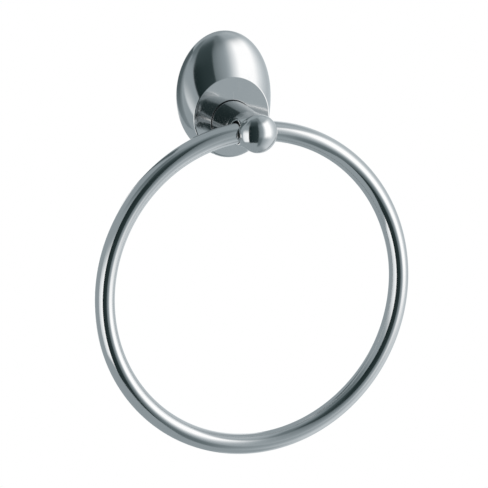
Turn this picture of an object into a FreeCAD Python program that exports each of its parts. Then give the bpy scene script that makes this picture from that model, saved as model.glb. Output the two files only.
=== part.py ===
"""Towel ring: an oval domed cover on a wall bracket, a post with a ball end, and a loose ring.

The wall is the plane Y = 0 and the part stands out from it towards -Y, with +Z up.
The origin is the middle of the cover's oval, half way between the two wall screws.
"""
import FreeCAD, Part
import os

import Sketcher

from FreeCAD import Placement, Rotation, Vector

os.makedirs("parts", exist_ok=True)
doc = FreeCAD.newDocument("TowelRing")

# Driving dimensions, in millimetres and degrees

SIZES = {
    "coverWidth": 49.2,
    "coverHeight": 61.4,
    "coverDepth": 11.7,
    "coverWall": 1.8,
    "facetDiameter": 39.6,
    "facetLift": 0.5,
    "facetEdgeRound": 1.0,
    "rimRound": 0.4,
    "seatBossDiameter": 17.0,
    "seatBossHeight": 2.2,
    "seatDepth": 0.8,
    "seatGap": 0.25,
    "seatEdge": 0.2,
    "postBelowFacet": 2.2,
    "flankReach": 21.5,
    "flankDiameter": 17.9,
    "footFlare": 1.65,
    "shoulderRound": 4.0,
    "neckStep": 1.25,
    "neckStraight": 3.5,
    "ballReach": 32.3,
    "ballOverhang": 0.5,
    "ballHeight": 6.6,
    "ballBand": 1.1,
    "ballSideRound": 3.0,
    "ballBackRound": 2.0,
    "eyeReach": 26.0,
    "eyeBore": 11.9,
    "eyeLip": 1.2,
    "eyeLength": 16.6,
    "spigotDiameter": 9.0,
    "spigotFlat": 3.4,
    "spigotShort": 0.3,
    "spigotFit": 0.1,
    "threadDiameter": 5.0,
    "threadDepth": 14.0,
    "threadFit": 0.1,
    "ringDiameter": 165.0,
    "ringBar": 10.0,
    "boltLength": 12.0,
    "boltHeadDiameter": 9.4,
    "boltHeadHeight": 3.0,
    "boltHeadRound": 1.0,
    "boltSlotWidth": 1.2,
    "boltSlotDepth": 1.3,
    "washerDiameter": 10.0,
    "washerThickness": 1.0,
    "bracketWidth": 22.0,
    "bracketMargin": 10.5,
    "bracketThickness": 2.5,
    "lipThickness": 2.0,
    "upperLipReach": 3.9,
    "lowerLipReach": 7.2,
    "wallScrewMargin": 5.2,
    "wallScrewHole": 4.5,
    "wallScrewSink": 8.0,
    "grubDiameter": 4.0,
    "grubLength": 6.0,
    "grubReach": 4.6,
    "grubSocket": 2.0,
    "grubSocketDepth": 2.2,
    "grubPoint": 0.5,
    "grubClearance": 0.2,
    "grubBossDiameter": 7.6,
    "grubBossRise": 7.0,
}

# Sizes that follow from them

FOLLOWING = {
    "facetDrop": "=(coverHeight - facetDiameter) / 2 - facetLift",
    "ovalRatio": "=(coverWidth / coverHeight) ^ 2",
    "domeFall": "=(coverWidth ^ 2 - facetDiameter ^ 2) / 4 + facetDrop ^ 2",
    "postDrop": "=facetDrop + postBelowFacet",
    "footDiameter": "=flankDiameter + 2 * footFlare",
    "neckDiameter": "=flankDiameter - 2 * neckStep",
    "ballDiameter": "=flankDiameter + 2 * ballOverhang",
    "ballSide": "=ballDiameter / 2 - ballSideRound",
    "ballBack": "=ballDiameter / 2 - ballBackRound",
    "ballRoot": "=ballReach - sqrt(ballBackRound ^ 2 - (neckDiameter / 2 - ballBack) ^ 2)",
    "crownRise": "=ballHeight - ballBand",
    "crownRadius": "=(ballSide ^ 2 + crownRise ^ 2 - ballSideRound ^ 2) / (2 * (crownRise - ballSideRound))",
    "crownEdge": "=ballSide * crownRadius / (crownRadius - ballSideRound)",
    "crownEdgeRise": "=(crownRadius - crownRise) * ballSideRound / (crownRadius - ballSideRound)",
    "neckReach": "=ballRoot - neckStraight",
    "bracketHeight": "=coverHeight - 2 * bracketMargin",
    "wallScrewSpacing": "=bracketHeight - 2 * wallScrewMargin",
}

COVER_SECTIONS = 7
PAST = 5.0

sheet = doc.addObject("Spreadsheet::Sheet", "Sizes")
for row, (alias, value) in enumerate({**SIZES, **FOLLOWING}.items(), start=1):
    sheet.set("A%d" % row, alias)
    sheet.set("B%d" % row, str(value))
    sheet.setAlias("B%d" % row, alias)
doc.recompute()

# Turns that stand a piece's own Z axis along one of the object's directions

UPWARD = Rotation()
OUTWARD = Rotation(Vector(1, 0, 0), 90)
OVAL_UP = Rotation(Vector(0, 0, 1), Vector(-1, 0, 0), Vector(0, -1, 0), "XYZ")


def bind(thing, **formulas):
    """Tie properties of an object to formulas on the sheet."""
    for name, formula in formulas.items():
        thing.setExpression(name, formula)


def place(thing, rotation=UPWARD, x="0", y="0", z="0"):
    """Turn a piece and tie its place to the sheet."""
    thing.Placement = Placement(Vector(0, 0, 0), rotation)
    for axis, formula in (("x", x), ("y", y), ("z", z)):
        thing.setExpression(".Placement.Base." + axis, formula)
    return thing


def cylinder(name, radius, height, rotation=UPWARD, **where):
    made = doc.addObject("Part::Cylinder", name)
    bind(made, Radius=radius, Height=height)
    return place(made, rotation, **where)


def cone(name, bottom, top, height, rotation=UPWARD, **where):
    made = doc.addObject("Part::Cone", name)
    bind(made, Radius1=bottom, Radius2=top, Height=height)
    return place(made, rotation, **where)


def block(name, length, width, height, **where):
    """Box centred on its X place."""
    made = doc.addObject("Part::Box", name)
    bind(made, Length=length, Width=width, Height=height)
    return place(made, x="-(%s) / 2" % length, **where)


def fuse(name, *shapes):
    made = doc.addObject("Part::MultiFuse", name)
    made.Shapes = list(shapes)
    return made


def cut(name, base, *tools):
    made = doc.addObject("Part::Cut", name)
    made.Base = base
    made.Tool = tools[0] if len(tools) == 1 else fuse(name + "Tools", *tools)
    return made


def new_body(name):
    return doc.addObject("PartDesign::Body", name)


def origin_feature(body, role):
    """Find one of a body's own planes or axes."""
    for feature in body.Origin.OriginFeatures:
        if feature.Role == role:
            return feature
    raise ValueError(role)


def new_sketch(body, name, plane, height=None):
    """Sketch on one of a body's planes, raised by a formula."""
    sketch = body.newObject("Sketcher::SketchObject", name)
    sketch.AttachmentSupport = [(origin_feature(body, plane), "")]
    sketch.MapMode = "FlatFace"
    if height:
        sketch.setExpression(".AttachmentOffset.Base.z", height)
    return sketch


def drive(sketch, constraint, formula):
    """Add a constraint whose value follows the sheet."""
    number = sketch.addConstraint(constraint)
    sketch.setExpression("Constraints[%d]" % number, formula)


def pin_point(sketch, edge, end, x, y):
    """Tie one end of a sketch edge to formulas for its two coordinates."""
    for kind, formula in (("DistanceX", x), ("DistanceY", y)):
        drive(sketch, Sketcher.Constraint(kind, -1, 1, edge, end, number(formula)), formula)


def outline(sketch, corners, arcs):
    """Closed outline that runs against the clock through corners, each a pair of formulas.

    arcs maps the number of an edge to its side, +1 where it bulges outward and -1 where it is
    hollow, and to a formula for the X of its centre.
    """
    points = [Vector(number(x), number(y), 0) for x, y in corners]
    count = len(points)
    for index, start in enumerate(points):
        end = points[(index + 1) % count]
        edge = arc_between(start, end, *arcs[index]) if index in arcs else Part.LineSegment(start, end)
        sketch.addGeometry(edge, False)
    first_ends = [2 if index in arcs and arcs[index][0] < 0 else 1 for index in range(count)]
    for index in range(count):
        following = (index + 1) % count
        last_end = 3 - first_ends[index]
        sketch.addConstraint(Sketcher.Constraint("Coincident", index, last_end, following, first_ends[following]))
    for index, (x, y) in enumerate(corners):
        pin_point(sketch, index, first_ends[index], x, y)
    for index, (side, formula) in arcs.items():
        drive(sketch, Sketcher.Constraint("DistanceX", -1, 1, index, 3, number(formula)), formula)


def arc_between(start, end, side, formula):
    """Arc from start to end, given by the X of its centre."""
    chord = end - start
    middle = (start + end) * 0.5
    across = number(formula)
    centre = Vector(across, middle.y - (across - middle.x) * chord.x / chord.y, 0)
    first, last = (start, end) if side > 0 else (end, start)
    circle = Part.Circle(centre, Vector(0, 0, 1), (start - centre).Length)
    return Part.ArcOfCircle(circle, circle.parameter(first), circle.parameter(last))


def number(formula):
    """Present value of a formula, which gives a sketch its first form."""
    return float(sheet.evalExpression(formula))


def add_feature(body, kind, name, sketch, **formulas):
    """Feature made from a sketch, with its lengths tied to the sheet."""
    feature = body.newObject("PartDesign::" + kind, name)
    feature.Profile = sketch
    bind(feature, **formulas)
    return feature


def turn(body, kind, name, sketch, axis):
    """Full turn of a sketch about one of its axes."""
    feature = add_feature(body, kind, name, sketch)
    feature.ReferenceAxis = (sketch, [axis])
    feature.Angle = 360.0
    return feature


def round_edges(body, name, base, radius, test):
    """Round the edges of a feature that lie wholly where the test says."""
    doc.recompute()
    edges = []
    for count, edge in enumerate(base.Shape.Edges, start=1):
        middle = edge.valueAt((edge.FirstParameter + edge.LastParameter) / 2)
        if all(test(point) for point in [middle] + [vertex.Point for vertex in edge.Vertexes]):
            edges.append("Edge%d" % count)
    feature = body.newObject("PartDesign::Fillet", name)
    feature.Base = (base, edges)
    bind(feature, Radius=radius)
    return feature


def near(value, formula):
    return abs(value - number(formula)) < 0.01


# Cover: oval sections that shrink and slide down to the round facet, hollow from behind


def dome(name, inset, depth):
    """Solid through ovals from the wall to the facet, all set in from the outer form.

    Every level section of the dome is half an ellipse, as wide as the cover's oval there, and the
    facet's plane cuts it in a circle. Its sections along the wall are ovals then, as given here.
    """
    sections = []
    for index in range(COVER_SECTIONS):
        level = "(%d / %d)" % (index, COVER_SECTIONS - 1)
        ratio = "(Sizes.ovalRatio + (1 - Sizes.ovalRatio) * %s ^ 2)" % level
        fall = "%s ^ 2 * Sizes.domeFall - %s ^ 4 * Sizes.facetDrop ^ 2 / %s" % (level, level, ratio)
        wide = "sqrt((Sizes.coverWidth / 2) ^ 2 - (%s))" % fall
        oval = doc.addObject("Part::Ellipse", "%sSection%d" % (name, index))
        bind(oval, MajorRadius="%s / sqrt(%s) - %s" % (wide, ratio, inset), MinorRadius="%s - %s" % (wide, inset))
        place(oval, OVAL_UP, y="-(%s) * %s" % (depth, level), z="-Sizes.facetDrop * %s ^ 2 / %s" % (level, ratio))
        sections.append(oval)
    loft = doc.addObject("Part::Loft", name)
    loft.Sections = sections
    loft.Solid = True
    return loft


def make_cover():
    form = new_body("CoverForm")
    form.BaseFeature = dome("CoverDome", "0", "Sizes.coverDepth")
    doc.recompute()
    facet_round = round_edges(form, "FacetRound", form.Tip, "Sizes.facetEdgeRound",
                              lambda point: near(point.y, "-Sizes.coverDepth"))
    rim_round = round_edges(form, "RimRound", facet_round, "Sizes.rimRound",
                            lambda point: near(point.y, "0"))
    form.Tip = rim_round
    hollow = dome("CoverHollow", "Sizes.coverWall", "Sizes.coverDepth - Sizes.coverWall")
    shell = cut("CoverShell", form, hollow)
    boss = cylinder("SeatBoss", "Sizes.seatBossDiameter / 2", "Sizes.seatBossHeight + Sizes.coverWall / 2",
                    OUTWARD, y="-Sizes.coverDepth + Sizes.coverWall + Sizes.seatBossHeight",
                    z="-Sizes.postDrop")
    grub_boss = cylinder("GrubBoss", "Sizes.grubBossDiameter / 2", "Sizes.grubBossRise",
                         y="-Sizes.grubReach", z="-Sizes.coverHeight / 2 + Sizes.coverWall / 2")
    walls = fuse("CoverWalls", shell, boss, grub_boss)
    seat = cylinder("Seat", "Sizes.footDiameter / 2 + Sizes.seatGap", "Sizes.seatDepth + %r" % PAST,
                    OUTWARD, y="-Sizes.coverDepth + Sizes.seatDepth", z="-Sizes.postDrop")
    edge = cone("SeatEdge", "Sizes.footDiameter / 2 + Sizes.seatGap",
                "Sizes.footDiameter / 2 + Sizes.seatGap + Sizes.seatEdge", "Sizes.seatEdge",
                OUTWARD, y="-Sizes.coverDepth + Sizes.seatEdge", z="-Sizes.postDrop")
    bore = cylinder("SpigotBore", "Sizes.spigotDiameter / 2 + Sizes.spigotFit", "Sizes.coverDepth",
                    OUTWARD, z="-Sizes.postDrop")
    flat = block("SpigotFlatSide", "Sizes.spigotDiameter + %r" % PAST, "Sizes.coverDepth + %r" % PAST,
                 "Sizes.spigotDiameter", y="-Sizes.coverDepth",
                 z="-Sizes.postDrop + Sizes.spigotFlat + Sizes.spigotFit")
    keyed_bore = cut("KeyedBore", bore, flat)
    grub_bore = cylinder("GrubBore", "Sizes.grubDiameter / 2 + Sizes.threadFit",
                         "Sizes.grubBossRise + %r" % PAST, y="-Sizes.grubReach",
                         z="-Sizes.coverHeight / 2 - %r / 2" % PAST)
    cover = cut("CoverPlate", walls, seat, edge, keyed_bore, grub_bore)
    cover.Label = "cover_plate"
    return cover


# Post: turned from one bar, with a keyed spigot behind, a cross eye and a flattened ball at the front


def make_post():
    body = new_body("Post")
    place(body, OUTWARD, y="-Sizes.coverDepth", z="-Sizes.postDrop")
    profile = new_sketch(body, "PostProfile", "YZ_Plane")
    spigot_end = "-(Sizes.coverWall + Sizes.seatBossHeight - Sizes.spigotShort)"
    outline(profile, [
        ("0", spigot_end),
        ("Sizes.spigotDiameter / 2", spigot_end),
        ("Sizes.spigotDiameter / 2", "-Sizes.seatDepth"),
        ("Sizes.footDiameter / 2", "-Sizes.seatDepth"),
        ("Sizes.flankDiameter / 2", "Sizes.flankReach"),
        ("Sizes.neckDiameter / 2", "Sizes.neckReach"),
        ("Sizes.neckDiameter / 2", "Sizes.ballRoot"),
        ("Sizes.ballDiameter / 2", "Sizes.ballReach"),
        ("Sizes.ballDiameter / 2", "Sizes.ballReach + Sizes.ballBand"),
        ("Sizes.crownEdge", "Sizes.ballReach + Sizes.ballBand + Sizes.crownEdgeRise"),
        ("0", "Sizes.ballReach + Sizes.ballHeight"),
    ], {6: (1, "Sizes.ballBack"), 8: (1, "Sizes.ballSide"), 9: (1, "0")})
    turned = turn(body, "Revolution", "PostTurned", profile, "V_Axis")
    shoulder = round_edges(body, "ShoulderRound", turned, "Sizes.shoulderRound",
                           lambda point: near(point.z, "Sizes.flankReach"))
    body.Tip = shoulder

    barrel = new_sketch(body, "EyeProfile", "XZ_Plane")
    half = "(Sizes.eyeLength - Sizes.eyeLip) / 2"
    inner = "Sizes.eyeReach + Sizes.eyeBore / 2"
    outer = "Sizes.eyeReach + Sizes.eyeBore / 2 + Sizes.eyeLip"
    outline(barrel, [
        ("-" + half, "Sizes.eyeReach"),
        (half, "Sizes.eyeReach"),
        (half, inner),
        (half, outer),
        ("-" + half, outer),
        ("-" + half, inner),
    ], {2: (1, half), 4: (1, "-" + half)})
    axis = barrel.addGeometry(Part.LineSegment(Vector(-1, number("Sizes.eyeReach"), 0),
                                               Vector(1, number("Sizes.eyeReach"), 0)), True)
    barrel.addConstraint(Sketcher.Constraint("Coincident", axis, 1, 0, 1))
    barrel.addConstraint(Sketcher.Constraint("Coincident", axis, 2, 0, 2))
    turn(body, "Revolution", "Eye", barrel, "Axis0")

    bore = new_sketch(body, "EyeBoreProfile", "YZ_Plane")
    circle(bore, "0", "Sizes.eyeReach", "Sizes.eyeBore / 2")
    eye_bore = add_feature(body, "Pocket", "EyeBore", bore)
    eye_bore.Type = "ThroughAll"
    eye_bore.SideType = "Symmetric"

    thread = new_sketch(body, "ThreadProfile", "XY_Plane", spigot_end)
    circle(thread, "0", "0", "Sizes.threadDiameter / 2 + Sizes.threadFit")
    thread_bore = add_feature(body, "Pocket", "ThreadBore", thread, Length="Sizes.threadDepth")
    thread_bore.Reversed = True

    key = new_sketch(body, "KeyProfile", "XY_Plane", "-Sizes.seatDepth")
    side = "Sizes.spigotDiameter / 2 + Sizes.spigotFit"
    outline(key, [
        ("-(%s)" % side, "Sizes.spigotFlat"),
        (side, "Sizes.spigotFlat"),
        (side, side),
        ("-(%s)" % side, side),
    ], {})
    add_feature(body, "Pocket", "Key", key, Length="Sizes.coverDepth")
    body.Label = "towel_post"
    return body


def circle(sketch, x, y, radius):
    edge = sketch.addGeometry(Part.Circle(Vector(number(x), number(y), 0), Vector(0, 0, 1), number(radius)), False)
    pin_point(sketch, edge, 3, x, y)
    drive(sketch, Sketcher.Constraint("Radius", edge, number(radius)), radius)


# Ring: one closed bar that hangs in the post's eye


def make_ring():
    ring = doc.addObject("Part::Torus", "Ring")
    bind(ring, Radius1="(Sizes.ringDiameter - Sizes.ringBar) / 2", Radius2="Sizes.ringBar / 2")
    place(ring, OUTWARD, y="-Sizes.coverDepth - Sizes.eyeReach",
          z="-Sizes.postDrop - (Sizes.ringDiameter - Sizes.ringBar) / 2")
    ring.Label = "towel_ring"
    return ring


# Fixing of the post: a washer and a slotted bolt from behind


def make_washer():
    seat = "-Sizes.coverDepth + Sizes.coverWall + Sizes.seatBossHeight"
    disc = cylinder("WasherDisc", "Sizes.washerDiameter / 2", "Sizes.washerThickness", OUTWARD,
                    y=seat + " + Sizes.washerThickness", z="-Sizes.postDrop")
    hole = cylinder("WasherHole", "Sizes.threadDiameter / 2 + Sizes.threadFit", "Sizes.washerThickness + %r" % PAST,
                    OUTWARD, y=seat + " + Sizes.washerThickness + %r / 2" % PAST, z="-Sizes.postDrop")
    washer = cut("Washer", disc, hole)
    washer.Label = "post_washer"
    return washer


def make_bolt():
    body = new_body("Bolt")
    place(body, OUTWARD, y="-Sizes.coverDepth + Sizes.coverWall + Sizes.seatBossHeight + Sizes.washerThickness",
          z="-Sizes.postDrop")
    profile = new_sketch(body, "BoltProfile", "XZ_Plane")
    outline(profile, [
        ("0", "-Sizes.boltHeadHeight"),
        ("Sizes.boltHeadDiameter / 2", "-Sizes.boltHeadHeight"),
        ("Sizes.boltHeadDiameter / 2", "0"),
        ("Sizes.threadDiameter / 2", "0"),
        ("Sizes.threadDiameter / 2", "Sizes.boltLength"),
        ("0", "Sizes.boltLength"),
    ], {})
    turned = turn(body, "Revolution", "BoltTurned", profile, "V_Axis")
    rounded = round_edges(body, "BoltHeadRound", turned, "Sizes.boltHeadRound",
                          lambda point: near(point.z, "-Sizes.boltHeadHeight"))
    body.Tip = rounded
    slot = new_sketch(body, "SlotProfile", "XY_Plane", "-Sizes.boltHeadHeight")
    outline(slot, [
        ("-Sizes.boltHeadDiameter", "-Sizes.boltSlotWidth / 2"),
        ("Sizes.boltHeadDiameter", "-Sizes.boltSlotWidth / 2"),
        ("Sizes.boltHeadDiameter", "Sizes.boltSlotWidth / 2"),
        ("-Sizes.boltHeadDiameter", "Sizes.boltSlotWidth / 2"),
    ], {})
    slot_cut = add_feature(body, "Pocket", "Slot", slot, Length="Sizes.boltSlotDepth")
    slot_cut.Reversed = True
    body.Label = "post_bolt"
    return body


# Wall bracket: a pressed plate with two countersunk holes and a lip at each end


def make_bracket():
    plate = block("BracketPlate", "Sizes.bracketWidth", "Sizes.bracketThickness", "Sizes.bracketHeight",
                  y="-Sizes.bracketThickness", z="-Sizes.bracketHeight / 2")
    upper = block("UpperLip", "Sizes.bracketWidth", "Sizes.upperLipReach", "Sizes.lipThickness",
                  y="-Sizes.upperLipReach", z="Sizes.bracketHeight / 2 - Sizes.lipThickness")
    lower = block("LowerLip", "Sizes.bracketWidth", "Sizes.lowerLipReach", "Sizes.lipThickness",
                  y="-Sizes.lowerLipReach", z="-Sizes.bracketHeight / 2")
    joined = fuse("BracketBent", plate, upper, lower)
    tools = []
    for name, side in (("Upper", "Sizes.wallScrewSpacing / 2"), ("Lower", "-Sizes.wallScrewSpacing / 2")):
        tools.append(cylinder(name + "ScrewHole", "Sizes.wallScrewHole / 2", "Sizes.bracketThickness + %r" % PAST,
                              OUTWARD, y="%r / 2" % PAST, z=side))
        sink = "(Sizes.wallScrewSink - Sizes.wallScrewHole) / 2"
        tools.append(cone(name + "ScrewSink", "Sizes.wallScrewHole / 2", "Sizes.wallScrewSink / 2", sink,
                          OUTWARD, y="-Sizes.bracketThickness + " + sink, z=side))
    bracket = cut("Bracket", joined, *tools)
    bracket.Label = "wall_bracket"
    return bracket


# Grub screw: a socket screw in the cover's underside that bears on the bracket's lower lip


def make_grub():
    tip = "-Sizes.bracketHeight / 2 - Sizes.grubClearance"
    stem = cylinder("GrubStem", "Sizes.grubDiameter / 2", "Sizes.grubLength - Sizes.grubPoint",
                    y="-Sizes.grubReach", z=tip + " - Sizes.grubLength")
    point = cone("GrubPoint", "Sizes.grubDiameter / 2", "Sizes.grubDiameter / 2 - Sizes.grubPoint",
                 "Sizes.grubPoint", y="-Sizes.grubReach", z=tip + " - Sizes.grubPoint")
    socket = doc.addObject("Part::Prism", "GrubSocket")
    socket.Polygon = 6
    bind(socket, Circumradius="Sizes.grubSocket / 2 / cos(30)", Height="Sizes.grubSocketDepth")
    place(socket, y="-Sizes.grubReach", z=tip + " - Sizes.grubLength")
    grub = cut("Grub", fuse("GrubTurned", stem, point), socket)
    grub.Label = "grub_screw"
    return grub


pieces = [make_cover(), make_post(), make_ring(), make_washer(), make_bolt(), make_bracket(), make_grub()]
doc.recompute()

for item in doc.Objects:
    if "Invalid" in item.State or "Error" in item.State:
        raise RuntimeError("failed to build: " + item.Label)
for piece in pieces:
    if piece.Shape.isNull() or not piece.Shape.isValid() or len(piece.Shape.Solids) != 1:
        raise RuntimeError("not one sound solid: " + piece.Label)
for piece in pieces:
    piece.Shape.exportStep("parts/%s.step" % piece.Label)
    print(piece.Label, "volume %.1f mm3" % piece.Shape.Volume, piece.Shape.BoundBox)
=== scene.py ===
import math

import bmesh
import bpy
from mathutils import Matrix, Vector


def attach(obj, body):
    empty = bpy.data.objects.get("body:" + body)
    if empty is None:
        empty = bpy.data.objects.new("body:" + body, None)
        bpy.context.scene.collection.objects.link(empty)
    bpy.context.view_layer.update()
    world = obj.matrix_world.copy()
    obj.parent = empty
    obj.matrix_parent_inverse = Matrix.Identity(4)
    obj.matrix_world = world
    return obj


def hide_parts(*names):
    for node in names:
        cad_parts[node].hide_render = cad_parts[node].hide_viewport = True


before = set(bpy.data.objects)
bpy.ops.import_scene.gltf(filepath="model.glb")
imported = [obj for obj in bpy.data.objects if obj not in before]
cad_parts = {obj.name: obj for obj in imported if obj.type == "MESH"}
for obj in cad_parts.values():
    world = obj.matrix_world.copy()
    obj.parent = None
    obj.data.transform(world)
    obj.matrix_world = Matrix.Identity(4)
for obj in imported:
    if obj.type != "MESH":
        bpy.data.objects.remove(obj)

bl_info = {
    "name": "Towel ring looks",
    "version": (1, 0, 0),
    "blender": (4, 5, 0),
    "location": "3D View > Sidebar > Towel Ring",
    "description": "Plated cover, post and ring of a wall towel ring, with the studio it stands in",
    "category": "Object",
}

MM = 0.001

# Fineness of the meshes, in steps round and in rows along

COVER_ROUND = 320
RIM_ROWS = 8
DOME_ROWS = 56
EDGE_ROWS = 10
SEAT_ROWS = 6
BOSS_ROUND = 96
POST_ROUND = 288
SHANK_ROWS = 110
SHOULDER_ROWS = 4
NECK_ROWS = 18
BACK_ROWS = 20
BALL_ROWS = 40
BORE_ROUND = 192
RING_ROUND = 512
BAR_ROUND = 72
FLOOR_ROUND = 128

# Angle from which an edge is sharp, distance at which two points are one, and width of the rows
# beside an edge that keep a flat face's shading flat

SHARP = math.radians(25.0)
MERGE = 1e-7
CRISP = 0.12 * MM

# Halvings that find the start of the facet's edge, and the step for the dome's slopes

HALVINGS = 40
SLOPE_STEP = 1e-4

# Reaches between which the eye's barrel runs into the shank, and how the blend's radius is found:
# from this far outside the shank, stepping inwards

EYE_SPAN = (14.0 * MM, 36.0 * MM)
MARCH_START = 4.0 * MM
MARCH_STEPS = 24


def length(name, description, millimetres):
    """Property for a length that is stated in millimetres."""
    return bpy.props.FloatProperty(name=name, description=description, default=millimetres * MM,
                                   unit="LENGTH", subtype="DISTANCE", precision=5)


def share(name, description, amount):
    """Property for a number from 0 to 1."""
    return bpy.props.FloatProperty(name=name, description=description, default=amount,
                                   min=0.0, max=1.0, subtype="FACTOR")


def tint(name, description, colour):
    """Property for a colour."""
    return bpy.props.FloatVectorProperty(name=name, description=description, default=colour,
                                         size=3, min=0.0, max=4.0, subtype="COLOR")


class CoverSizes(bpy.types.PropertyGroup):
    """Oval domed cover with its round facet."""
    width: length("Width", "Oval's width on the wall", 49.2)
    height: length("Height", "Oval's height on the wall", 61.4)
    depth: length("Depth", "Facet's distance from the wall", 11.7)
    wall: length("Wall", "Thickness of the casting", 1.8)
    facet: length("Facet", "Diameter of the facet before its edge is rounded", 39.6)
    drop: length("Facet drop", "Facet's middle below the oval's middle", 10.4)
    facet_round: length("Facet edge", "Radius of the facet's edge", 1.0)
    rim_round: length("Rim edge", "Radius of the outer rim's edge", 0.4)
    seat_depth: length("Seat depth", "Depth of the recess for the post's foot", 0.8)
    seat_gap: length("Seat gap", "Gap round the post's foot", 0.25)
    seat_edge: length("Seat edge", "Radius of the recess's mouth", 0.3)
    boss: length("Boss", "Diameter of the boss behind the post", 17.0)
    boss_height: length("Boss height", "Height of the boss behind the post", 2.2)
    spigot_fit: length("Spigot fit", "Gap round the post's spigot", 0.1)
    grub_boss: length("Grub boss", "Diameter of the boss for the grub screw", 7.6)
    grub_boss_rise: length("Grub boss height", "Height of the boss for the grub screw", 7.0)
    grub_reach: length("Grub reach", "Grub screw's distance from the wall", 4.6)
    grub_bore: length("Grub bore", "Diameter of the grub screw's hole", 4.2)


class PostSizes(bpy.types.PropertyGroup):
    """Turned post with a cross eye and a ball end; reaches are counted from the facet."""
    drop: length("Drop", "Post's axis below the oval's middle", 12.6)
    foot: length("Foot", "Diameter at the facet", 21.2)
    flank: length("Flank", "Diameter where the shank ends", 17.9)
    flank_reach: length("Flank reach", "Reach where the shank ends", 21.5)
    shoulder_round: length("Shoulder", "Radius of the shoulder", 4.0)
    neck: length("Neck", "Diameter before the ball", 15.4)
    neck_reach: length("Neck reach", "Reach where the neck starts", 26.816)
    ball: length("Ball", "Diameter of the flattened ball", 18.9)
    ball_reach: length("Ball reach", "Reach where the ball is first at its widest", 32.3)
    ball_band: length("Ball band", "Length over which the ball is at its widest", 1.1)
    ball_height: length("Ball height", "From the first widest place to the tip", 6.6)
    ball_back: length("Ball back", "Radius of the ball's back edge", 2.0)
    ball_side: length("Ball side", "Radius of the ball's front edge", 3.0)
    eye_reach: length("Eye reach", "Reach of the eye's axis", 26.0)
    eye_bore: length("Eye bore", "Diameter of the eye's hole", 11.4)
    eye_lip: length("Eye lip", "Thickness of the eye's lip", 0.8)
    eye_length: length("Eye length", "Width of the eye from lip to lip", 15.6)
    eye_blend: length("Eye blend", "How far shank and eye run into each other", 4.0)
    spigot: length("Spigot", "Diameter of the spigot behind the foot", 9.0)
    spigot_length: length("Spigot length", "Spigot's length behind the facet", 3.7)
    thread: length("Blind hole", "Diameter of the blind hole for the bolt", 5.2)
    thread_depth: length("Blind hole depth", "Depth of the blind hole", 14.0)


class RingSizes(bpy.types.PropertyGroup):
    """Round ring of round bar."""
    across: length("Diameter", "Ring's outer diameter", 165.0)
    bar: length("Bar", "Diameter of the bar", 10.0)


class FinishValues(bpy.types.PropertyGroup):
    """Colours and gloss of the finishes."""
    plate: tint("Plating", "Colour of the plated metal", (0.75, 0.75, 0.75))
    plate_cloud: tint("Plating clouds", "Colour of the plating where it is a little duller",
                      (0.71, 0.715, 0.72))
    plate_rough: share("Plating roughness", "Roughness of the polished plating", 0.10)
    # Painted shade: a dark colour laid on the plating in the narrow gap round the post's foot, standing in
    # for the shade that falls there
    seam: tint("Seam", "Colour of the plating down in the gap round the post", (0.09, 0.11, 0.115))
    zinc: tint("Zinc", "Colour of the zinc on the small screws", (0.66, 0.67, 0.65))
    zinc_rough: share("Zinc roughness", "Roughness of the small screws", 0.30)
    steel: tint("Pressed steel", "Colour of the wall bracket", (0.56, 0.57, 0.56))
    steel_rough: share("Steel roughness", "Roughness of the wall bracket", 0.38)


class StudioValues(bpy.types.PropertyGroup):
    """Camera, floor and light."""
    azimuth: bpy.props.FloatProperty(name="Azimuth", description="Camera's turn round the object",
                                     default=math.radians(-23.0), unit="ROTATION", subtype="ANGLE")
    elevation: bpy.props.FloatProperty(name="Elevation", description="Camera's height over the horizon",
                                       default=math.radians(12.0), unit="ROTATION", subtype="ANGLE")
    distance: length("Distance", "Camera's distance from the ring", 3100.0)
    floor_drop: length("Floor", "Floor's depth below the wall screws", 420.0)
    room: length("Room", "Radius of the pale floor", 9000.0)
    key_strength: bpy.props.FloatProperty(name="Key light", description="Power of the soft lamp above",
                                          default=9.0, unit="POWER", subtype="POWER")


def settings(name):
    """Values of one of the groups above."""
    return getattr(bpy.context.scene, name)


# Meshes


def finished(name, bm, sharp=SHARP):
    """Object made from a bmesh, smooth except over its sharp edges."""
    for face in bm.faces:
        face.smooth = True
    for edge in bm.edges:
        edge.smooth = not (len(edge.link_faces) == 2 and edge.calc_face_angle(0.0) > sharp)
    mesh = bpy.data.meshes.new(name)
    bm.to_mesh(mesh)
    bm.free()
    made = bpy.data.objects.new(name, mesh)
    bpy.context.scene.collection.objects.link(made)
    return made


def skin(bm, stations, count, closed=True):
    """Skin through rings of points, each station giving the point for a turn of the loop."""
    turns = [2.0 * math.pi * index / count for index in range(count)]
    loop = bmesh.ops.create_circle(bm, cap_ends=False, segments=count, radius=1.0)["verts"]
    edges = list(bm.edges)
    for vert, angle in zip(loop, turns):
        vert.co = stations[0](angle)
    for station in stations[1:] + (stations[:1] if closed else []):
        grown = bmesh.ops.extrude_edge_only(bm, edges=edges)["geom"]
        edges = [item for item in grown if isinstance(item, bmesh.types.BMEdge)]
        fresh = {item for item in grown if isinstance(item, bmesh.types.BMVert)}
        loop = [next(edge.other_vert(vert) for edge in vert.link_edges
                     if edge.other_vert(vert) in fresh) for vert in loop]
        for vert, angle in zip(loop, turns):
            vert.co = station(angle)
    bmesh.ops.remove_doubles(bm, verts=bm.verts, dist=MERGE)
    bmesh.ops.recalc_face_normals(bm, faces=bm.faces)


def arc(centre, radius, start, end, rows):
    """Points of an arc as pairs, from one angle to another."""
    angles = [start + (end - start) * row / rows for row in range(rows + 1)]
    return [(centre[0] + radius * math.cos(angle), centre[1] + radius * math.sin(angle))
            for angle in angles]


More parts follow.
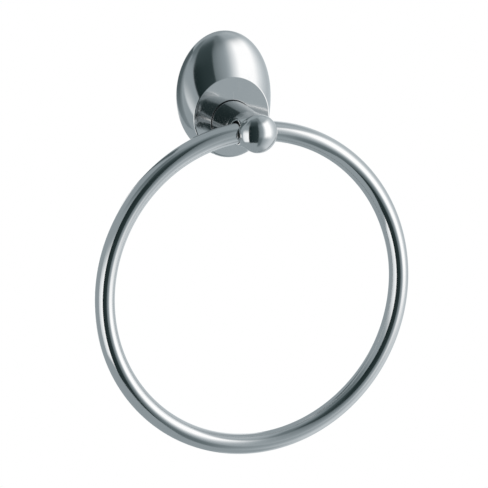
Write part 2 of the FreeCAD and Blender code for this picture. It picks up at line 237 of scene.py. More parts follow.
def carve(name, base, *steps):
    """Join and cut solids; each step is a kind and a solid. The solids are used up."""
    for number, (kind, solid) in enumerate(steps):
        change = base.modifiers.new("%s%d" % (kind.title(), number), "BOOLEAN")
        change.operation = kind
        change.object = solid
        change.solver = "EXACT"
    bpy.context.view_layer.update()
    result = base.evaluated_get(bpy.context.evaluated_depsgraph_get())
    mesh = bpy.data.meshes.new_from_object(result)
    for used in [base] + [solid for kind, solid in steps]:
        bpy.data.objects.remove(used)
    bm = bmesh.new()
    bm.from_mesh(mesh)
    bpy.data.meshes.remove(mesh)
    bmesh.ops.remove_doubles(bm, verts=bm.verts, dist=2.0 * MERGE)
    return finished(name, bm)


def rod(name, start, end, radius, steps=BORE_ROUND):
    """Closed round rod between two points."""
    bm = bmesh.new()
    bmesh.ops.create_cone(bm, cap_ends=True, segments=steps, radius1=radius, radius2=radius,
                          depth=(end - start).length)
    facing = (end - start).to_track_quat("Z", "Y").to_matrix().to_4x4()
    bmesh.ops.transform(bm, matrix=Matrix.Translation((start + end) / 2) @ facing, verts=bm.verts)
    return finished(name, bm)


# Cover


def dome_point(cover, level, turn, inset=0.0):
    """Point of the dome, or of its inner skin; the level is 0 at the wall and 1 at the facet."""
    ratio = (cover.width / cover.height) ** 2
    ratio += (1.0 - ratio) * level ** 2
    fall = level ** 2 * ((cover.width ** 2 - cover.facet ** 2) / 4.0 + cover.drop ** 2)
    fall -= level ** 4 * cover.drop ** 2 / ratio
    wide = math.sqrt(cover.width ** 2 / 4.0 - fall)
    tall = wide / math.sqrt(ratio) - inset
    low = cover.drop * level ** 2 / ratio
    return Vector(((wide - inset) * math.sin(turn), -(cover.depth - inset) * level,
                   tall * math.cos(turn) - low))


def dome_normal(cover, level, turn):
    """Outward direction of the dome at a point."""
    step = SLOPE_STEP
    along = dome_point(cover, level + step, turn) - dome_point(cover, level - step, turn)
    across = dome_point(cover, level, turn + step) - dome_point(cover, level, turn - step)
    normal = along.cross(across).normalized()
    return normal if normal.y < 0.0 else -normal


def facet_start(cover, turn):
    """Level where the round of the facet's edge begins."""
    low, high = 0.0, 1.0
    for _ in range(HALVINGS):
        middle = (low + high) / 2.0
        normal = dome_normal(cover, middle, turn)
        centre = dome_point(cover, middle, turn) - normal * cover.facet_round
        if -centre.y + cover.facet_round > cover.depth:
            high = middle
        else:
            low = middle
    return low


def cover_stations(cover, post):
    """Rings of the cover's skin, from the rim over the dome and facet and back inside."""
    starts = {}
    facing = Vector((0.0, -1.0, 0.0))
    rim_level = cover.rim_round / cover.depth

    def start_of(turn):
        if turn not in starts:
            starts[turn] = facet_start(cover, turn)
        return starts[turn]

    def rim(amount):
        def station(turn):
            angle = math.pi / 2.0 * amount
            point = dome_point(cover, rim_level * amount, turn)
            flat = Vector((point.x, 0.0, point.z))
            inward = flat * (-cover.rim_round * (1.0 - math.sin(angle)) / flat.length)
            off = -cover.rim_round * (1.0 - math.cos(angle))
            return Vector((point.x + inward.x, off, point.z + inward.z))
        return station

    def dome(amount):
        def station(turn):
            return dome_point(cover, rim_level + (start_of(turn) - rim_level) * amount, turn)
        return station

    def edge(amount):
        def station(turn):
            level = start_of(turn)
            normal = dome_normal(cover, level, turn)
            centre = dome_point(cover, level, turn) - normal * cover.facet_round
            return centre + normal.slerp(facing, amount) * cover.facet_round
        return station

    def inside_edge(inset):
        def station(turn):
            point = edge(1.0)(turn)
            middle = Vector((0.0, -cover.depth, -cover.drop))
            return point + (middle - point).normalized() * inset
        return station

    def circle(radius, reach):
        return lambda turn: Vector((radius * math.sin(turn), -reach, radius * math.cos(turn) - post.drop))

    def inner(amount):
        return lambda turn: dome_point(cover, amount, turn, cover.wall)

    seat = post.foot / 2.0 + cover.seat_gap
    floor = cover.depth - cover.seat_depth
    bore = post.spigot / 2.0 + cover.spigot_fit
    behind = cover.depth - cover.wall - cover.boss_height
    stations = [inner(0.0)]
    stations += [rim(row / RIM_ROWS) for row in range(RIM_ROWS + 1)]
    stations += [dome(row / DOME_ROWS) for row in range(1, DOME_ROWS + 1)]
    stations += [edge(row / EDGE_ROWS) for row in range(1, EDGE_ROWS + 1)]
    stations += [inside_edge(CRISP), circle(seat + cover.seat_edge + CRISP, cover.depth)]
    for row in range(SEAT_ROWS + 1):
        angle = math.pi / 2.0 * row / SEAT_ROWS
        stations += [circle(seat + cover.seat_edge * (1.0 - math.sin(angle)),
                            cover.depth - cover.seat_edge * (1.0 - math.cos(angle)))]
    stations += [circle(seat, floor), circle(bore, floor), circle(bore, behind)]
    stations += [circle(cover.boss / 2.0, behind), circle(cover.boss / 2.0, cover.depth - cover.wall)]
    stations += [inner(1.0 - row / DOME_ROWS) for row in range(DOME_ROWS)]
    return stations


class TOWEL_OT_cover(bpy.types.Operator):
    """Make the oval domed cover"""
    bl_idname = "towel.cover"
    bl_label = "Cover"

    def execute(self, context):
        cover = settings("towel_cover")
        post = settings("towel_post")
        bm = bmesh.new()
        skin(bm, cover_stations(cover, post), COVER_ROUND)
        shell = finished("cover_blank", bm)
        low = -cover.height / 2.0
        start = low + cover.wall / 2.0
        boss = rod("grub_boss", Vector((0.0, -cover.grub_reach, start)),
                   Vector((0.0, -cover.grub_reach, start + cover.grub_boss_rise)),
                   cover.grub_boss / 2.0, BOSS_ROUND)
        bore = rod("grub_bore", Vector((0.0, -cover.grub_reach, low - cover.wall)),
                   Vector((0.0, -cover.grub_reach, low + cover.wall + cover.grub_boss_rise)),
                   cover.grub_bore / 2.0, BOSS_ROUND)
        made = carve("domed_cover", shell, ("UNION", boss), ("DIFFERENCE", bore))
        # The cover's plating gets painted shade in the gap round the post's foot
        made.data.materials.append(plating("Polished plating cover", cover_wear, cover_gap_shade))
        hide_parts("cover_plate")
        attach(made, "wall_part")
        return {"FINISHED"}


# Post


def between(first, last, rows):
    """Points inside a straight run, in equal steps, without its two ends."""
    return [(first[0] + (last[0] - first[0]) * row / rows, first[1] + (last[1] - first[1]) * row / rows)
            for row in range(1, rows)]


def post_profile(post):
    """Half section of the post as pairs of reach and radius, from the blind hole to the ball's tip."""
    foot = post.foot / 2.0
    flank = post.flank / 2.0
    neck = post.neck / 2.0
    ball = post.ball / 2.0
    spigot = post.spigot / 2.0
    thread = post.thread / 2.0
    seat = -settings("towel_cover").seat_depth
    hole_end = -post.spigot_length + post.thread_depth
    # The shank tapers, and its shoulder turns down to the neck
    taper = math.atan2(foot - flank, post.flank_reach - seat)
    waist = math.atan2(flank - neck, post.neck_reach - post.flank_reach)
    run = post.shoulder_round * math.tan((waist - taper) / 2.0)
    start = (post.flank_reach - run * math.cos(taper), flank + run * math.sin(taper))
    centre = (start[0] - post.shoulder_round * math.sin(taper),
              start[1] - post.shoulder_round * math.cos(taper))
    # The ball has a round at the back, a short band, a round in front and a flatter crown
    back = ball - post.ball_back
    side = ball - post.ball_side
    root = math.pi - math.asin((neck - back) / post.ball_back)
    root_reach = post.ball_reach + post.ball_back * math.cos(root)
    front = post.ball_reach + post.ball_band
    rise = post.ball_height - post.ball_band
    crown = (side ** 2 + rise ** 2 - post.ball_side ** 2) / (2.0 * (rise - post.ball_side))
    meet = math.atan2(side, crown - rise)
    points = [(hole_end, 0.0), (hole_end, thread), (-post.spigot_length, thread)]
    points += [(-post.spigot_length, spigot), (seat, spigot), (seat, foot)]
    points += between((seat, foot), start, SHANK_ROWS)
    points += arc(centre, post.shoulder_round, math.pi / 2.0 - taper, math.pi / 2.0 - waist, SHOULDER_ROWS)
    points += between(points[-1], (post.neck_reach, neck), NECK_ROWS)
    points += [(post.neck_reach, neck)]
    points += between((post.neck_reach, neck), (root_reach, neck), NECK_ROWS)
    points += arc((post.ball_reach, back), post.ball_back, root, math.pi / 2.0, BACK_ROWS)
    points += arc((front, side), post.ball_side, math.pi / 2.0, meet, BACK_ROWS)
    points += arc((front + rise - crown, 0.0), crown, meet, 0.0, BALL_ROWS)[1:]
    return points


def eye_distance(post, reach, turn, radius):
    """Distance from a point to the solid barrel of the eye, whose lips are rounded."""
    lip = post.eye_lip / 2.0
    beside = abs(radius * math.sin(turn)) - (post.eye_length / 2.0 - lip)
    about = math.hypot(reach - post.eye_reach, radius * math.cos(turn))
    about -= post.eye_bore / 2.0 + lip
    return min(max(beside, about), 0.0) + math.hypot(max(beside, 0.0), max(about, 0.0)) - lip


def blended_radius(post, reach, bare, turn):
    """Radius of the post where the eye's barrel runs softly into the turned shank."""
    radius = bare + MARCH_START
    for _ in range(MARCH_STEPS):
        shank = radius - bare
        barrel = eye_distance(post, reach, turn, radius)
        near = max(post.eye_blend - abs(shank - barrel), 0.0)
        step = min(shank, barrel) - near * near / (4.0 * post.eye_blend)
        if step < MERGE:
            break
        radius -= step
    return radius


class TOWEL_OT_post(bpy.types.Operator):
    """Make the turned post with its eye and ball"""
    bl_idname = "towel.post"
    bl_label = "Post"

    def execute(self, context):
        post = settings("towel_post")
        foot = Vector((0.0, -settings("towel_cover").depth, -post.drop))
        eye = foot + Vector((0.0, -post.eye_reach, 0.0))

        def station(reach, bare):
            def point(turn):
                radius = bare
                if EYE_SPAN[0] < reach < EYE_SPAN[1]:
                    radius = blended_radius(post, reach, bare, turn)
                return foot + Vector((radius * math.sin(turn), -reach, radius * math.cos(turn)))
            return point

        bm = bmesh.new()
        skin(bm, [station(*pair) for pair in post_profile(post)], POST_ROUND, closed=False)
        shank = finished("post_blank", bm)
        past = Vector((post.foot, 0.0, 0.0))
        bore = rod("eye_bore", eye - past, eye + past, post.eye_bore / 2.0)
        made = carve("turned_post", shank, ("DIFFERENCE", bore))
        # The post's plating gets painted shade on its foot, down in the gap below the facet
        made.data.materials.append(plating("Polished plating post", post_wear, post_gap_shade))
        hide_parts("towel_post")
        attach(made, "wall_part")
        return {"FINISHED"}


# Ring


class TOWEL_OT_ring(bpy.types.Operator):
    """Make the round ring"""
    bl_idname = "towel.ring"
    bl_label = "Ring"

    def execute(self, context):
        ring = settings("towel_ring")
        post = settings("towel_post")
        radius = (ring.across - ring.bar) / 2.0
        top = Vector((0.0, -settings("towel_cover").depth - post.eye_reach, -post.drop))
        centre = top - Vector((0.0, 0.0, radius))
        bm = bmesh.new()
        bmesh.ops.create_circle(bm, cap_ends=False, segments=BAR_ROUND, radius=ring.bar / 2.0)
        upright = Matrix.Rotation(math.pi / 2.0, 4, "Y")
        bmesh.ops.transform(bm, matrix=Matrix.Translation(top) @ upright, verts=bm.verts)
        bmesh.ops.spin(bm, geom=bm.verts[:] + bm.edges[:], cent=centre, axis=Vector((0.0, 1.0, 0.0)),
                       angle=2.0 * math.pi, steps=RING_ROUND, use_merge=True, use_duplicate=False)
        bmesh.ops.remove_doubles(bm, verts=bm.verts, dist=MERGE)
        bmesh.ops.recalc_face_normals(bm, faces=bm.faces)
        made = finished("round_ring", bm)
        made.data.materials.append(plating("Polished plating ring", ring_wear))
        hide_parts("towel_ring")
        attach(made, "ring")
        return {"FINISHED"}


# Shader maths


class Signal:
    """Shader socket that can stand in a Python expression."""

    def __init__(self, wiring, socket):
        self.wiring = wiring
        self.socket = socket

    def math(self, operation, *others):
        return self.wiring.node("ShaderNodeMath", {"operation": operation}, {
            number: value for number, value in enumerate((self,) + others)})

    def __add__(self, other):
        return self.math("ADD", other)

    def __mul__(self, other):
        return self.math("MULTIPLY", other)

    def __sub__(self, other):
        return self.math("SUBTRACT", other)

    def __rsub__(self, other):
        return self.math("MULTIPLY_ADD", -1.0, other)

    __radd__ = __add__
    __rmul__ = __mul__


class Wiring:
    """Node tree of one finish or light."""

    def __init__(self, tree):
        self.tree = tree
        tree.nodes.clear()

    def node(self, kind, options=None, values=None, output=0):
        """Add a node, set its options or a ramp's stops, then the values or links of its sockets."""
        made = self.tree.nodes.new(kind)
        for name, value in (options or {}).items():
            if name == "stops":
                self.stops(made.color_ramp, value)
            else:
                setattr(made, name, value)
        for name, value in (values or {}).items():
            if isinstance(value, Signal):
                self.tree.links.new(value.socket, made.inputs[name])
            else:
                made.inputs[name].default_value = value
        return Signal(self, made.outputs[output]) if made.outputs else made

    @staticmethod
    def stops(ramp, stops):
        """Set a ramp's stops from pairs of place and colour."""
        while len(ramp.elements) < len(stops):
            ramp.elements.new(0.5)
        for element, (place, shade) in zip(ramp.elements, stops):
            element.position = place
            element.color = colour(shade)

    def place(self):
        return self.node("ShaderNodeTexCoord", output="Object")

    def split(self, vector, axis):
        return self.node("ShaderNodeSeparateXYZ", {}, {"Vector": vector}, axis)

    def stretched(self, vector, scale, turn=(0.0, 0.0, 0.0)):
        return self.node("ShaderNodeMapping", {}, {"Vector": vector, "Scale": scale, "Rotation": turn})

    def noise(self, vector, scale, detail=2.0, rough=0.5):
        return self.node("ShaderNodeTexNoise", {}, {
            "Vector": vector, "Scale": scale, "Detail": detail, "Roughness": rough}, "Fac")

    def level(self, signal, low, high):
        """Grey from 0 at the low value to 1 at the high one."""
        return self.node("ShaderNodeMapRange", {"interpolation_type": "SMOOTHSTEP"}, {
            "Value": signal, "From Min": low, "From Max": high})

    def looked_at(self):
        """1 for the camera's rays and for those that pass through glass, 0 for the rest."""
        return (self.node("ShaderNodeLightPath", output="Is Camera Ray")
                + self.node("ShaderNodeLightPath", output="Is Transmission Ray"))

    def blend(self, factor, first, second):
        return self.node("ShaderNodeMix", {"data_type": "RGBA"}, {
            "Factor": factor, 6: colour(first), 7: colour(second)}, 2)


def colour(value):
    """Four numbers for a colour socket, or the link as it is."""
    return value if isinstance(value, Signal) else (value[0], value[1], value[2], 1.0)


def metal_finish(name, paint):
    """Material with a metal shader, whose base colour, roughness and bumps come from a function."""
    made = bpy.data.materials.new(name)
    made.use_nodes = True
    wiring = Wiring(made.node_tree)
    base, rough, height, strength, depth = paint(wiring, wiring.place())
    bumps = wiring.node("ShaderNodeBump", {}, {"Strength": strength, "Distance": depth, "Height": height})
    wiring.node("ShaderNodeOutputMaterial", {}, {
        "Surface": wiring.node("ShaderNodeBsdfPrincipled", {}, {
            "Base Color": base, "Metallic": 1.0, "Roughness": rough, "Normal": bumps})})
    return made


# Patterns of the plating: stretches and turns of the two sets of fine lines and of the smears

LINES = (((1400.0, 1400.0, 60.0), (0.3, 0.2, 0.5)), ((60.0, 1500.0, 1500.0), (0.1, 0.9, -0.4)))
SMEARS = (110.0, 110.0, 28.0)

# Squares of the distance from the eye's axis, out from it and across it, over which the rubbing
# of the ring shows

RUBBED_OUT = (0.00001, 0.00009)
RUBBED_ACROSS = (0.00001, 0.00007)


def scratches(wiring, place, scale, turn):
    """Fine lines in one direction, 1 where a line runs."""
    lines = wiring.noise(wiring.stretched(place, scale, turn), 1.0, 0.0)
    patches = wiring.noise(place, 45.0, 1.0)
    return wiring.level(lines, 0.735, 0.76) * wiring.level(patches, 0.5, 0.62)


def cover_wear(wiring, place):
    """Wear of the cover: a little dull low down, where water runs off."""
    return wiring.level(wiring.split(place, "Z") * -1.0, 0.005, 0.040) * 0.4


def post_wear(wiring, place):
    """Wear of the post: rubbed in the eye, where the ring turns."""
    across = wiring.split(place, "X")
    out = wiring.split(place, "Y") + (settings("towel_cover").depth + settings("towel_post").eye_reach)
    return (1.0 - wiring.level(out * out, *RUBBED_OUT)) * wiring.level(across * across, *RUBBED_ACROSS)


def ring_wear(wiring, place):
    """Wear of the ring: rubbed at its top, where it lies in the eye, and low down from towels."""
    high = wiring.level(wiring.split(place, "Z"), -0.020, -0.010)
    low = wiring.level(wiring.split(place, "Z") * -1.0, 0.120, 0.170)
    return high * 0.8 + low * 0.3


def cover_gap_shade(wiring, place):
    """Mask for painted shade: 1 in the narrow gap round the post's foot, where shade falls and the plating
    is painted dark.
    """
    cover, post = settings("towel_cover"), settings("towel_post")
    across = wiring.split(place, "X")
    above = wiring.split(place, "Z") + post.drop
    mouth = post.foot / 2.0 + cover.seat_gap + cover.seat_edge
    inside = 1.0 - wiring.level(across * across + above * above, mouth ** 2, (mouth + 0.05 * MM) ** 2)
    start = cover.seat_edge - cover.depth
    return inside * wiring.level(wiring.split(place, "Y"), start, start + 0.15 * MM)


def post_gap_shade(wiring, place):
    """Mask for painted shade: 1 on the foot's side below the facet, down in the gap where shade falls."""
    start = 0.15 * MM - settings("towel_cover").depth
    return wiring.level(wiring.split(place, "Y"), start, start + 0.2 * MM)


def plating(name, wear, seam=None):
    """Polished plating with faint clouds, fine scratches, rubbed places and painted shade in the gap round
    the post.
    """
    values = settings("towel_finish")

    def paint(wiring, place):
        clouds = wiring.level(wiring.noise(place, 60.0, 3.0, 0.55), 0.35, 0.7)
        smears = wiring.level(wiring.noise(wiring.stretched(place, SMEARS), 1.0, 2.0), 0.45, 0.7)
        rubbed = wear(wiring, place)
        lines = scratches(wiring, place, *LINES[0]) + scratches(wiring, place, *LINES[1])
        base = wiring.blend(clouds * 0.5 + rubbed * 0.3, values.plate, values.plate_cloud)
        # Painted shade: the plating is painted dark in the gap round the post's foot
        if seam:
            base = wiring.blend(seam(wiring, place), base, values.seam)
        rough = values.plate_rough
        dull = clouds * (rough * 0.25) + smears * (rough * 0.3) + rubbed * (rough * 0.6)
        dull = dull + lines * (rough * 0.8) + rough * 0.85
        height = wiring.noise(place, 900.0, 2.0) * 0.15 + wiring.noise(place, 110.0, 1.0) - lines * 0.2
        return base, dull, height, 0.12, 0.00001

    return metal_finish(name, paint)


def zinc():
    """Zinc-plated small screws with turning marks."""
    values = settings("towel_finish")

    def paint(wiring, place):
        clouds = wiring.level(wiring.noise(place, 420.0, 3.0), 0.3, 0.75)
        marks = wiring.noise(wiring.stretched(place, (300.0, 5200.0, 300.0)), 1.0, 1.0)
        base = wiring.blend(clouds, values.zinc, [part * 0.78 for part in values.zinc])
        rough = clouds * 0.16 + marks * 0.1 + values.zinc_rough * 0.6
        return base, rough, marks, 0.25, 0.00003

    return metal_finish("Zinc plated steel", paint)


def pressed_steel():
    """Rolled and pressed steel sheet with streaks along its length."""
    values = settings("towel_finish")

    def paint(wiring, place):
        streaks = wiring.noise(wiring.stretched(place, (2600.0, 2600.0, 60.0)), 1.0, 2.0)
        spangle = wiring.node("ShaderNodeTexVoronoi", {"feature": "F1"}, {
            "Vector": place, "Scale": 260.0}, "Distance")
        clouds = wiring.level(wiring.noise(place, 160.0, 3.0), 0.3, 0.7)
        darker = [part * 0.8 for part in values.steel]
        base = wiring.blend(clouds * 0.6 + spangle * 0.4, values.steel, darker)
        rough = streaks * 0.2 + clouds * 0.08 + values.steel_rough * 0.7
        return base, rough, streaks + spangle * 0.4, 0.3, 0.00004

    return metal_finish("Pressed steel sheet", paint)


def dress(node, finish):
    """Put a finish on every material slot of a CAD node."""
    mesh_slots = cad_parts[node].material_slots
    if not mesh_slots:
        raise RuntimeError("no material slot on " + node)
    for mesh_slot in mesh_slots:
        mesh_slot.material = finish


class TOWEL_OT_fixings(bpy.types.Operator):
    """Give the bracket, washer and screws their finishes"""
    bl_idname = "towel.fixings"
    bl_label = "Fixings"

    def execute(self, context):
        screw_finish = zinc()
        for node in ("post_washer", "post_bolt", "grub_screw"):
            dress(node, screw_finish)
        dress("wall_bracket", pressed_steel())
        return {"FINISHED"}


# Studio


class TOWEL_OT_stage(bpy.types.Operator):
    """Make the camera, the floor and the light"""
    bl_idname = "towel.stage"
    bl_label = "Stage"

    def execute(self, context):
        studio = settings("towel_studio")
        make_camera(studio)
        make_floor(studio)
        make_sky(studio)
        make_flag()
        make_lamp(studio)
        context.scene.view_settings.view_transform = "Standard"
        return {"FINISHED"}


# The photograph's frame: its width, the focal length and the seen place of the ring's middle, in
# pixels, and the camera's sensor in millimetres

FRAME_PIXELS = 488.0
FOCAL_PIXELS = 6384.8
RING_MIDDLE = (252.69, 287.88)
SENSOR = 36.0

# Distances from the object, in metres, over which the floor turns white to the camera

FLOOR_WHITE = (0.45, 0.75)


def make_camera(studio):
    """Camera that sees the ring's middle where the photograph shows it."""
    ring = settings("towel_ring")
    post = settings("towel_post")
    radius = (ring.across - ring.bar) / 2.0
    middle = Vector((0.0, -settings("towel_cover").depth - post.eye_reach, -post.drop - radius))
    turn, rise = studio.azimuth, studio.elevation
    back = Vector((math.sin(turn) * math.cos(rise), -math.cos(turn) * math.cos(rise), math.sin(rise)))
    right = Vector((math.cos(turn), math.sin(turn), 0.0))
    up = back.cross(right)
    aside = (RING_MIDDLE[0] - FRAME_PIXELS / 2.0) / FOCAL_PIXELS
    above = -(RING_MIDDLE[1] - FRAME_PIXELS / 2.0) / FOCAL_PIXELS
    data = bpy.data.cameras.new("camera")
    data.sensor_width = SENSOR
    data.lens = FOCAL_PIXELS / FRAME_PIXELS * SENSOR
    data.clip_start = 0.1
    data.clip_end = 60.0
    made = bpy.data.objects.new("camera", data)
    bpy.context.scene.collection.objects.link(made)
    place = middle + (back - right * aside - up * above) * studio.distance
    made.matrix_world = Matrix.Translation(place) @ Matrix((right, up, back)).transposed().to_4x4()
    bpy.context.scene.camera = made


def make_floor(studio):
    """Wide pale floor that keeps the object's shadow and is white to the camera further off."""
    bm = bmesh.new()
    bmesh.ops.create_circle(bm, cap_ends=True, segments=FLOOR_ROUND, radius=studio.room)
    bmesh.ops.translate(bm, vec=(0.0, 0.0, -studio.floor_drop), verts=bm.verts)
    made = finished("studio_floor", bm)
    paint = bpy.data.materials.new("Pale studio floor")
    paint.use_nodes = True
    wiring = Wiring(paint.node_tree)
    place = wiring.place()
    off = wiring.node("ShaderNodeVectorMath", {"operation": "LENGTH"}, {0: place}, "Value")
    far = wiring.level(off, *FLOOR_WHITE)
    seen = wiring.looked_at() * far
    grain = wiring.noise(place, 30.0, 2.0)
    matt = wiring.node("ShaderNodeBsdfPrincipled", {}, {
        "Base Color": wiring.blend(grain, (0.86, 0.86, 0.86), (0.89, 0.89, 0.885)), "Roughness": 0.8})
    white = wiring.node("ShaderNodeEmission", {}, {"Color": (1.0, 1.0, 1.0, 1.0), "Strength": 1.0})
    wiring.node("ShaderNodeOutputMaterial", {}, {
        "Surface": wiring.node("ShaderNodeMixShader", {}, {0: seen, 1: matt, 2: white})})
    made.data.materials.append(paint)
    made.visible_glossy = False


class Screen:
    """Patch of the studio's wall, in degrees of turn and rise as seen from the object.

    Turns grow to the camera's right from 0 at the camera's side. The four widths of its soft edges
    are left, right, below and above. Its tones are pairs of place and brightness, along the turn
    or the rise; a single pair is one brightness all over.
    """

    def __init__(self, turns, rises, soft, tones, along="turn"):
        self.turns = turns
        self.rises = rises
        self.soft = soft
        self.tones = tones
        self.along = along

    def mask(self, wiring, turn, rise):
        """1 on the screen and 0 off it, with an edge as soft as each side says."""
        left, right, below, above = self.soft
        inside = wiring.level(turn, self.turns[0] - left, self.turns[0] + left)
        inside = inside * (1.0 - wiring.level(turn, self.turns[1] - right, self.turns[1] + right))
        inside = inside * wiring.level(rise, self.rises[0] - below, self.rises[0] + below)
        return inside * (1.0 - wiring.level(rise, self.rises[1] - above, self.rises[1] + above))

    def shades(self, wiring, turn, rise):
        """Light of the screen, run between its tones."""
        if len(self.tones) == 1:
            return grey(self.tones[0][1])
        low, high = self.tones[0][0], self.tones[-1][0]
        place = wiring.node("ShaderNodeMapRange", {}, {
            "Value": rise if self.along == "rise" else turn, "From Min": low, "From Max": high})
        stops = [((mark - low) / (high - low), grey(level)) for mark, level in self.tones]
        return wiring.node("ShaderNodeValToRGB", {"stops": stops}, {0: place})


# Share of the light that the plating gives back, its darkest grey, how far red lies under green in
# the dark greys, and how far blue lies over green in the middle ones

METAL = 0.74
DARKEST = 31.8
LESS_RED = 11.5
MORE_BLUE = 4.2


def grey(level):
    """Light that makes the plating show a brightness from 0 to 255; dark greys are a little teal."""
    level = max(level, DARKEST)
    less = LESS_RED * (1.0 - (level / 255.0) ** 3)
    more = MORE_BLUE * math.sin(math.pi * (level / 255.0) ** 1.3)
    green = level + 0.299 * less - 0.114 * more
    shown = (green - less, green, green + more)
    return tuple(((part / 255.0 + 0.055) / 1.055) ** 2.4 / METAL for part in shown)


# Brightness of the studio's wall, and its screens, each over those before it

ROOM = 146.0
SCREENS = (
    Screen((-62.0, -17.0), (32.0, 72.0), (12.0, 6.0, 8.0, 10.0),
           ((30.0, 142.0), (46.0, 106.0), (66.0, 102.0)), along="rise"),
    Screen((-17.0, 34.0), (28.0, 76.0), (6.0, 8.0, 3.0, 8.0),
           ((28.0, 50.0), (44.0, 64.0), (50.0, 75.0), (60.0, 112.0), (72.0, 130.0)), along="rise"),
    Screen((34.0, 150.0), (30.0, 70.0), (8.0, 16.0, 6.0, 8.0),
           ((34.0, 88.0), (45.0, 118.0), (56.0, 152.0), (95.0, 172.0), (150.0, 150.0))),
    Screen((-18.5, 26.5), (-42.0, 32.0), (1.5, 0.8, 1.0, 3.0), ((-18.5, 28.0), (26.5, 50.0))),
    Screen((26.5, 180.0), (-58.0, 0.0), (0.8, 0.8, 8.0, 12.0),
           ((26.5, 92.0), (41.0, 106.0), (49.0, 142.0), (60.0, 158.0), (90.0, 196.0), (110.0, 200.0),
            (180.0, 176.0))),
    Screen((26.5, 180.0), (-19.0, 38.0), (0.8, 0.8, 9.0, 7.0),
           ((26.5, 106.0), (44.0, 145.0), (48.0, 164.0), (57.0, 230.0), (61.0, 255.0), (85.0, 255.0),
            (95.0, 222.0), (108.0, 194.0), (124.0, 178.0), (160.0, 182.0), (180.0, 225.0))),
    Screen((-62.0, -19.0), (-38.0, 8.0), (4.0, 0.8, 2.0, 12.0),
           ((-62.0, 200.0), (-40.0, 230.0), (-19.0, 250.0))),
    Screen((-190.0, -132.0), (-20.0, 16.0), (1.0, 5.0, 6.0, 8.0), ((0.0, 250.0),)),
)


def make_sky(studio):
    """Soft studio all round the object, which is plain white where the camera sees it."""
    world = bpy.data.worlds.new("studio")
    world.use_nodes = True
    wiring = Wiring(world.node_tree)
    direction = wiring.node("ShaderNodeTexCoord", output="Generated")
    east = wiring.split(direction, "X")
    north = wiring.split(direction, "Y")
    ahead = north * -math.cos(studio.azimuth) + east * math.sin(studio.azimuth)
    aside = north * math.sin(studio.azimuth) + east * math.cos(studio.azimuth)
    turn = aside.math("ARCTAN2", ahead) * math.degrees(1.0)
    rise = wiring.split(direction, "Z").math("ARCSINE") * math.degrees(1.0)
    light = wiring.node("ShaderNodeRGB")
    light.socket.default_value = colour(grey(ROOM))
    for screen in SCREENS:
        light = wiring.blend(screen.mask(wiring, turn, rise), light, screen.shades(wiring, turn, rise))
    light = wiring.blend(wiring.looked_at(), light, (1.0, 1.0, 1.0))
    wiring.node("ShaderNodeOutputWorld", {}, {
        "Surface": wiring.node("ShaderNodeBackground", {}, {"Color": light, "Strength": 1.0})})
    bpy.context.scene.world = world


# Size and place of the lamp, in metres

LAMP_SIZE = 0.9
LAMP_PLACE = Vector((-0.3, -0.5, 1.3))


def make_lamp(studio):
    """Soft lamp above that gives the floor its shadow."""
    data = bpy.data.lights.new("soft_lamp", "AREA")
    data.shape = "DISK"
    data.size = LAMP_SIZE
    data.energy = studio.key_strength
    made = bpy.data.objects.new("soft_lamp", data)
    bpy.context.scene.collection.objects.link(made)
    made.visible_glossy = False
    made.location = LAMP_PLACE
    made.rotation_euler = (-LAMP_PLACE).to_track_quat("-Z", "Y").to_euler()


# Dark flag that only the cover's left edge mirrors: the corners of its upright card in metres, its
# brightness at the top and lower down, between which heights that changes, and the slanted soft
# edge over which it turns into the wall's own brightness

FLAG_CORNERS = ((-0.0626, 0.0277, -0.050), (-0.0561, 0.0466, -0.050), (-0.0561, 0.0466, 0.085),
                (-0.0845, -0.0367, 0.085))
FLAG_LEVEL = 84.0
FLAG_LOW_LEVEL = 122.0
FLAG_LOW = (-0.045, 0.015)
FLAG_SLANT = (0.95, 0.30)
FLAG_EDGE = (-0.004, 0.020)


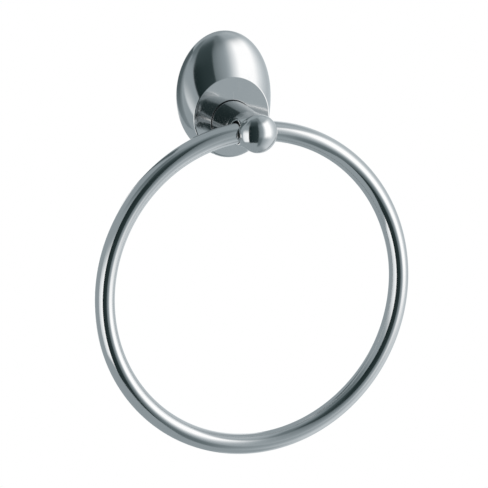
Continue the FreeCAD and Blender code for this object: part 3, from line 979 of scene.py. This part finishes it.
def make_flag():
    """Upright dark card beside the cover, seen in the metal only."""
    bm = bmesh.new()
    bmesh.ops.contextual_create(bm, geom=[bm.verts.new(corner) for corner in FLAG_CORNERS])
    made = finished("studio_flag", bm)
    paint = bpy.data.materials.new("Studio flag")
    paint.use_nodes = True
    wiring = Wiring(paint.node_tree)
    place = wiring.place()
    up = wiring.split(place, "Z")
    slant = wiring.split(place, "Y") * FLAG_SLANT[0] + up * FLAG_SLANT[1]
    dark = wiring.blend(wiring.level(up, *FLAG_LOW), grey(FLAG_LOW_LEVEL), grey(FLAG_LEVEL))
    cloth = wiring.blend(wiring.level(slant, *FLAG_EDGE), grey(ROOM), dark)
    wiring.node("ShaderNodeOutputMaterial", {}, {
        "Surface": wiring.node("ShaderNodeEmission", {}, {"Color": cloth, "Strength": 1.0})})
    made.data.materials.append(paint)
    made.visible_camera = False
    made.visible_diffuse = False
    made.visible_shadow = False


class TOWEL_PT_panel(bpy.types.Panel):
    """Sizes, colours and steps of the towel ring"""
    bl_idname = "TOWEL_PT_panel"
    bl_label = "Towel Ring"
    bl_space_type = "VIEW_3D"
    bl_region_type = "UI"
    bl_category = "Towel Ring"

    def draw(self, context):
        for name in GROUPS:
            values = settings(name)
            for key in values.__annotations__:
                self.layout.prop(values, key)
        for step in STEPS:
            self.layout.operator(step.bl_idname)


GROUPS = {
    "towel_cover": CoverSizes,
    "towel_post": PostSizes,
    "towel_ring": RingSizes,
    "towel_finish": FinishValues,
    "towel_studio": StudioValues,
}

STEPS = (TOWEL_OT_cover, TOWEL_OT_post, TOWEL_OT_ring, TOWEL_OT_fixings, TOWEL_OT_stage)


def register():
    for group in GROUPS.values():
        bpy.utils.register_class(group)
    for name, group in GROUPS.items():
        setattr(bpy.types.Scene, name, bpy.props.PointerProperty(type=group))
    for step in STEPS:
        bpy.utils.register_class(step)
    bpy.utils.register_class(TOWEL_PT_panel)


def unregister():
    bpy.utils.unregister_class(TOWEL_PT_panel)
    for step in reversed(STEPS):
        bpy.utils.unregister_class(step)
    for name in GROUPS:
        delattr(bpy.types.Scene, name)
    for group in reversed(list(GROUPS.values())):
        bpy.utils.unregister_class(group)


def main():
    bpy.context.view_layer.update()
    register()
    bpy.ops.towel.cover()
    bpy.ops.towel.post()
    bpy.ops.towel.ring()
    bpy.ops.towel.fixings()
    bpy.ops.towel.stage()


if __name__ == "__main__":
    main()
